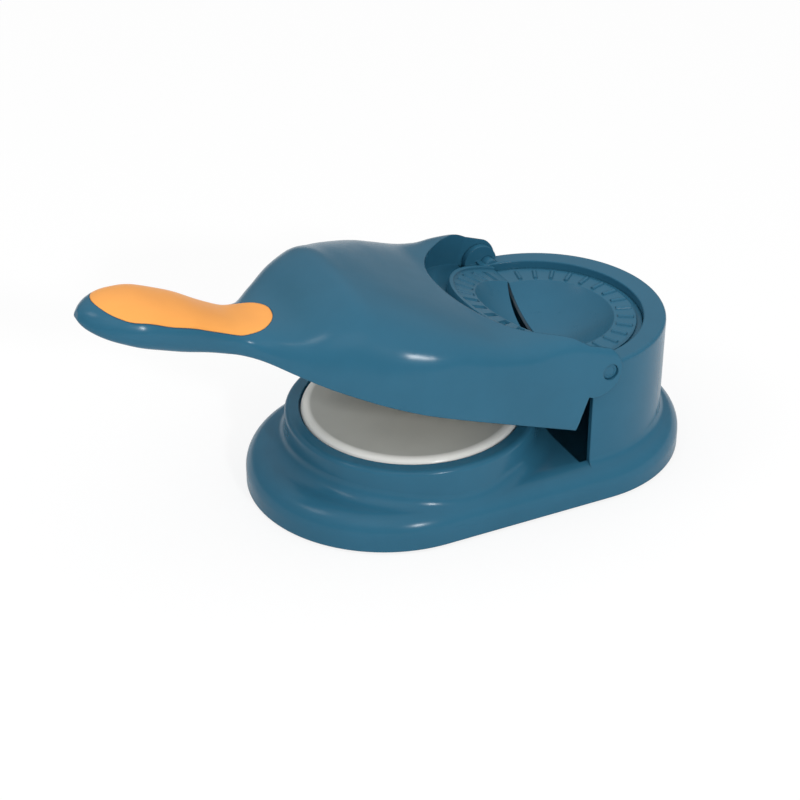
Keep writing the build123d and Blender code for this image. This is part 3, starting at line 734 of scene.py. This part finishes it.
@dataclass
class Screws:
    """Pan-head screws with a cross recess and a rolled thread."""

    wardrobe: Wardrobe
    head_radius: float = 2.6
    head_height: float = 1.6
    shank_radius: float = 1.19
    root_radius: float = 0.92
    pitch: float = 0.9
    slot_width: float = 0.75
    slot_reach: float = 1.75
    slot_depth: float = 0.8
    spin_step: float = 37.0
    sides: int = 24

    def _profile(self, length: float) -> list[Point]:
        """Outline of a screw that stands on its head, with its seat at height zero.

        Args:
            length: from the seat to the tip.

        Returns:
            Radius and height of each ring.
        """
        r, h = self.head_radius, self.head_height
        outline = [(1.0, -h), (0.62 * r, -h + 0.02), (0.82 * r, -h + 0.13)]
        outline += [(0.94 * r, -h + 0.36)]
        outline += [(r, -h + 0.75), (r, -0.12), (0.96 * r, 0.0), (self.shank_radius, 0.0)]
        height = 0.5
        while height < length - 1.1:
            outline += [(self.shank_radius, height), (self.root_radius, height + self.pitch / 2)]
            height += self.pitch
        outline += [(self.root_radius, length - 0.9), (0.45, length - 0.15), (0.2, length)]
        return outline

    def _recess(self) -> bpy.types.Object:
        """Cross-shaped cutter that narrows towards its floor.

        Returns:
            The cutter, in the place of the first screw's head.
        """
        blades = []
        for turn in (0.0, 90.0):
            bpy.ops.object.select_all(action="DESELECT")
            bpy.ops.mesh.primitive_cube_add(size=1.0, location=(0, 0, 0))
            blade = bpy.context.object
            depth = 2 * self.slot_depth
            blade.scale = (2 * self.slot_reach * MM, self.slot_width * MM, depth * MM)
            bpy.ops.object.transform_apply(location=False, rotation=False, scale=True)
            for corner in blade.data.vertices:
                corner.select = corner.co.z > 0
            bpy.ops.object.mode_set(mode="EDIT")
            bpy.ops.mesh.select_mode(type="VERT")
            bpy.ops.transform.resize(value=(0.55, 0.7, 1.0), center_override=(0, 0, 0))
            bpy.ops.object.mode_set(mode="OBJECT")
            turned = Matrix.Rotation(math.radians(turn), 4, "Z")
            Bench.place(blade, Matrix.Translation((0, 0, -self.head_height * MM)) @ turned)
            blades.append(blade)
        Bench.only(blades[0])
        union = blades[0].modifiers.new("union", "BOOLEAN")
        union.operation = "UNION"
        union.solver = "EXACT"
        union.object = blades[1]
        bpy.ops.object.modifier_apply(modifier=union.name)
        bpy.data.objects.remove(blades[1])
        return blades[0]

    def build(self, row: ScrewRow) -> bpy.types.Object:
        """Makes one node's screws.

        Args:
            row: the screws' places and size.

        Returns:
            One object that holds them all.
        """
        pattern = Bench.turned(row.node + "_turned", self._profile(row.length), self.sides)
        Bench.carve(pattern, self._recess())
        made = []
        for index, (x, y) in enumerate(row.places):
            screw = Bench.copied(pattern, f"{row.node}_{index}")
            spin = Matrix.Rotation(math.radians(self.spin_step * index), 4, "Z")
            flip = Matrix.Rotation(math.pi if row.down else 0.0, 4, "X")
            stand = Matrix.Translation((x * MM + HINGE.x, y * MM, row.seat * MM))
            turn = HINGE.opened() if row.frame is Frame.LEVER else Matrix.Identity(4)
            Bench.place(screw, turn @ stand @ flip @ spin)
            made.append(screw)
        bpy.data.objects.remove(pattern)
        whole = Bench.joined(made, row.node + "_cut")
        Bench.smooth(whole, 35.0)
        self.wardrobe.fit(whole, Finish.STEEL, row.frame, row.node)
        return whole


@dataclass
class Dishes:
    """Dough plate on the base and press disc under the lever, each with a soft rim."""

    wardrobe: Wardrobe
    centre: float = DISH_CENTRE
    plate_radius: float = PLATE_RADIUS
    plate_low: float = 30.2
    plate_top: float = 33.4
    plate_dish: float = 0.35
    disc_radius: float = DISC_RADIUS
    disc_low: float = 34.2
    disc_top: float = 37.2
    disc_dish: float = 0.3
    rim: float = 2.3
    screw_circle: float = DISH_SCREW_CIRCLE
    hole_radius: float = 1.25
    sides: int = 160

    def _outline(self, radius: float, low: float, top: float, dished: float) -> list[Point]:
        """Outline from the back of a dish to its face, whose rim stands a little proud.

        Args:
            radius: the dish's outer radius.
            low: height of its back.
            top: height of its rim.
            dished: depth of its floor below the rim.

        Returns:
            Radius and height of each ring.
        """
        rim = self.rim
        outline = [(6.0, low), (radius - 3.2, low), (radius - 0.5, low), (radius, low + 0.4)]
        for step in range(7):
            angle = math.radians(15.0 * step)
            out, up = rim * math.cos(angle), rim * math.sin(angle)
            outline.append((radius - rim + out, top - rim + up))
        outline = [ring for ring in outline if ring[1] >= low]
        outline += [(radius - 3.4, top - 0.03), (radius - 4.6, top - 0.45 * dished)]
        outline += [(radius - 6.0, top - 0.85 * dished), (radius - 9.0, top - dished)]
        outline += [(radius * 0.55, top - dished), (radius * 0.2, top - dished)]
        outline += [(1.0, top - dished)]
        return outline

    def _holes(
        self, degrees: Iterable[float], low: float, depth: float
    ) -> list[bpy.types.Object]:
        """Cutters for the blind screw holes in the back.

        Args:
            degrees: where the holes stand on their circle.
            low: height of the dish's back.
            depth: depth of the holes.

        Returns:
            One drill-shaped cutter a hole.
        """
        cutters = []
        for x, y in circle_places(0.0, self.screw_circle, degrees):
            outline = [(0.4, low - 1.0), (self.hole_radius, low - 1.0)]
            outline += [(self.hole_radius, low + depth - 0.4), (0.3, low + depth)]
            drill = Bench.turned("drill", outline, 20)
            Bench.place(drill, Matrix.Translation((x * MM, y * MM, 0.0)))
            cutters.append(drill)
        return cutters

    def plate(self) -> bpy.types.Object:
        """Makes the white plate that the dough lies on.

        Returns:
            The plate.
        """
        outline = self._outline(
            self.plate_radius, self.plate_low, self.plate_top, self.plate_dish
        )
        piece = Bench.turned("dough_plate", outline, self.sides)
        for cutter in self._holes((90, 210, 330), self.plate_low, 2.2):
            Bench.carve(piece, cutter)
        Bench.place(piece, Matrix.Translation((HINGE.x + self.centre * MM, 0, 0)))
        Bench.smooth(piece, 40.0)
        self.wardrobe.fit(piece, Finish.PLATE, Frame.BASE, "press_plate")
        return piece

    def disc(self) -> bpy.types.Object:
        """Makes the disc that flattens the dough.

        Returns:
            The disc, raised with the lever.
        """
        height = self.disc_top - self.disc_low
        outline = self._outline(self.disc_radius, 0.0, height, self.disc_dish)
        piece = Bench.turned("dough_disc", outline, self.sides)
        for cutter in self._holes((-30, -150, -270), 0.0, 2.0):
            Bench.carve(piece, cutter)
        flip = Matrix.Rotation(math.pi, 4, "X")
        stand = Matrix.Translation((HINGE.x + self.centre * MM, 0, self.disc_top * MM))
        Bench.place(piece, HINGE.opened() @ stand @ flip)
        Bench.smooth(piece, 40.0)
        self.wardrobe.fit(piece, Finish.DISC, Frame.LEVER, "press_disc")
        return piece


@dataclass
class RubberFeet:
    """Four pads with a sucker groove in their undersides."""

    wardrobe: Wardrobe
    radius: float = 7.0
    height: float = 1.9
    front: float = -112.0
    rear: float = 38.0
    side: float = 28.0
    sides: int = 64

    def build(self) -> list[bpy.types.Object]:
        """Makes all four pads.

        Returns:
            The pads.
        """
        r, h = self.radius, self.height
        outline = [(2.2, 0.5), (2.6, 0.42), (2.9, 0.1), (3.2, 0.0), (4.3, 0.0), (4.5, 0.1)]
        outline += [(4.6, 0.35), (5.0, 0.35), (5.1, 0.1), (5.3, 0.0), (r - 0.6, 0.0)]
        outline += [(r - 0.2, 0.12), (r, 0.4)]
        outline += [(r, h - 0.15), (r - 0.1, h - 0.03), (r - 0.4, h), (1.0, h)]
        pattern = Bench.turned("pad", outline, self.sides)
        made = []
        places = [(x, y) for x in (self.front, self.rear) for y in (self.side, -self.side)]
        for number, (x, y) in enumerate(places, start=1):
            pad = Bench.copied(pattern, f"rubber_pad_{number}")
            Bench.place(pad, Matrix.Translation((HINGE.x + x * MM, y * MM, 0)))
            Bench.smooth(pad, 40.0)
            self.wardrobe.fit(pad, Finish.RUBBER, Frame.BASE, f"rubber_foot_{number}")
            made.append(pad)
        bpy.data.objects.remove(pattern)
        return made


@dataclass
class HingePins:
    """Two short pins, each with a shallow dimple in its outer end."""

    wardrobe: Wardrobe
    radius: float = 3.4
    inner: float = 46.0
    outer: float = 55.4
    chamfer: float = 0.4
    dimple: float = 0.35
    sides: int = 64

    def build(self) -> list[bpy.types.Object]:
        """Makes both pins.

        Returns:
            The pins.
        """
        r, length, c = self.radius, self.outer - self.inner, self.chamfer
        outline = [(1.0, 0.0), (r - c, 0.0), (r - 0.12, 0.15), (r, c), (r, length - c)]
        outline += [(r - 0.12, length - 0.15), (r - c, length), (2.2, length)]
        outline += [(2.0, length - self.dimple + 0.05), (1.0, length - self.dimple)]
        made = []
        for side, turn, node in ((1, -90.0, "pivot_pin_left"), (-1, 90.0, "pivot_pin_right")):
            pin = Bench.turned(node + "_turned", outline, self.sides)
            stand = Matrix.Translation((HINGE.x, side * self.inner * MM, HINGE.z))
            Bench.place(pin, stand @ Matrix.Rotation(math.radians(turn), 4, "X"))
            Bench.smooth(pin, 35.0)
            self.wardrobe.fit(pin, Finish.BODY, Frame.BASE, node)
            made.append(pin)
        return made


@dataclass(frozen=True)
class Lamp:
    """One square lamp: its name, place and side in metres, and its power in watts."""

    name: str
    place: tuple[float, float, float]
    side: float
    watts: float


LAMPS = (
    Lamp("key", (0.03, -1.42, 0.73), 0.12, 8.2),
    Lamp("front", (-0.7, -0.85, 1.17), 0.9, 1.5),
    Lamp("left", (-1.09, 0.1, 1.17), 0.4, 2.4),
)


@dataclass
class Studio:
    """Camera, lamps, floor and the light all round."""

    camera_at: tuple[float, float, float] = (-0.30154, -0.6282, 0.4599)
    looks_at: tuple[float, float, float] = (0.0105, 0.01496, 0.025)
    focal_px: float = 1946.5
    picture_px: float = 800.0
    sensor_mm: float = 36.0
    lamps_aim: tuple[float, float, float] = (0.0, 0.0, 0.04)
    floor_radius: float = 8.0
    floor_white: float = 0.78
    floor_glow: float = 1.04
    white_in_gloss: float = 0.15
    horizon_light: float = 0.14
    overhead_light: float = 0.86

    def build(self) -> None:
        """Makes the whole studio."""
        self._camera()
        self._floor()
        self._world()
        for lamp in LAMPS:
            self._lamp(lamp)
        bpy.context.scene.view_settings.view_transform = "Standard"

    def _camera(self) -> None:
        """Adds the camera."""
        data = bpy.data.cameras.new("camera")
        data.sensor_width = self.sensor_mm
        data.lens = self.focal_px / self.picture_px * self.sensor_mm
        data.clip_start = 0.01
        camera = bpy.data.objects.new("camera", data)
        camera.location = self.camera_at
        aim = Vector(self.looks_at) - Vector(self.camera_at)
        camera.rotation_euler = aim.to_track_quat("-Z", "Y").to_euler()
        bpy.context.scene.collection.objects.link(camera)
        bpy.context.scene.camera = camera

    def _lamp(self, lamp: Lamp) -> None:
        """Adds one square lamp that shines on the middle of the object.

        Args:
            lamp: its place, side and power.
        """
        data = bpy.data.lights.new(lamp.name, "AREA")
        data.size = lamp.side
        data.energy = lamp.watts
        stand = bpy.data.objects.new(lamp.name, data)
        stand.location = lamp.place
        aim = Vector(self.lamps_aim) - Vector(lamp.place)
        stand.rotation_euler = aim.to_track_quat("-Z", "Y").to_euler()
        bpy.context.scene.collection.objects.link(stand)

    def _seen(self, tree: bpy.types.NodeTree) -> Sock:
        """How much of the white background a ray gets.

        Args:
            tree: nodes of the floor or of the light all round.

        Returns:
            1 straight on or through glass, a small share in a reflection, and 0 otherwise.
        """
        path = tree.nodes.new("ShaderNodeLightPath")
        camera, glossy, through = (
            Sock(tree, path.outputs[name])
            for name in ("Is Camera Ray", "Is Glossy Ray", "Is Transmission Ray")
        )
        return camera + through + glossy * self.white_in_gloss

    def _floor(self) -> None:
        """Adds the pale floor, which shows white to the camera and keeps soft shadows."""
        bpy.ops.mesh.primitive_circle_add(
            vertices=96, radius=self.floor_radius, fill_type="NGON", location=(0, 0, 0)
        )
        floor = bpy.context.object
        floor.name = "floor"
        shader = Shader("floor_paper")
        shader.feed("Base Color", (0.9, 0.9, 0.9, 1.0))
        shader.feed("Roughness", 0.9)
        shader.feed("Specular IOR Level", 0.1)
        glow = shader.node(
            "ShaderNodeEmission", None, 0, Color=(1.0, 1.0, 1.0, 1.0), Strength=self.floor_glow
        )
        mixed = shader.tree.nodes.new("ShaderNodeMixShader")
        share = self._seen(shader.tree) * self.floor_white
        shader.tree.links.new(share.output, mixed.inputs[0])
        shader.tree.links.new(shader.surface.outputs[0], mixed.inputs[1])
        shader.tree.links.new(glow.output, mixed.inputs[2])
        end = next(n for n in shader.tree.nodes if n.type == "OUTPUT_MATERIAL")
        shader.tree.links.new(mixed.outputs[0], end.inputs["Surface"])
        floor.data.materials.append(shader.material)

    def _world(self) -> None:
        """Lights the object evenly and shows white behind it."""
        world = bpy.data.worlds.new("studio_light")
        world.use_nodes = True
        bpy.context.scene.world = world
        tree = world.node_tree
        tree.nodes.clear()
        place = tree.nodes.new("ShaderNodeTexCoord")
        split = tree.nodes.new("ShaderNodeSeparateXYZ")
        tree.links.new(place.outputs["Generated"], split.inputs[0])
        sky = Sock(tree, split.outputs["Z"]).step(0.05, 0.95)
        soft = tree.nodes.new("ShaderNodeBackground")
        soft.inputs["Color"].default_value = (1.0, 1.0, 1.0, 1.0)
        strength = sky * self.overhead_light + self.horizon_light
        tree.links.new(strength.output, soft.inputs["Strength"])
        white = tree.nodes.new("ShaderNodeBackground")
        white.inputs["Color"].default_value = (1.0, 1.0, 1.0, 1.0)
        white.inputs["Strength"].default_value = 1.0
        mixed = tree.nodes.new("ShaderNodeMixShader")
        end = tree.nodes.new("ShaderNodeOutputWorld")
        tree.links.new(self._seen(tree).output, mixed.inputs[0])
        tree.links.new(soft.outputs[0], mixed.inputs[1])
        tree.links.new(white.outputs[0], mixed.inputs[2])
        tree.links.new(mixed.outputs[0], end.inputs["Surface"])


def main() -> None:
    """Builds the studio and every piece."""
    logging.basicConfig(level=logging.INFO, format="%(name)s: %(message)s")
    Studio().build()
    wardrobe = Wardrobe()
    dishes = Dishes(wardrobe)
    dishes.plate()
    dishes.disc()
    RubberFeet(wardrobe).build()
    HingePins(wardrobe).build()
    screws = Screws(wardrobe)
    for row in SCREW_ROWS:
        screws.build(row)
    wardrobe.dress_nodes(["grip_inlay"], Finish.GRIP)
    wardrobe.dress_nodes(["rear_mould", "front_mould"], Finish.MOULD)
    body = ["base_shell", "base_bottom_cover", "lever_shell", "underside_cover"]
    wardrobe.dress_nodes(body, Finish.BODY)


if __name__ == "__main__":
    main()
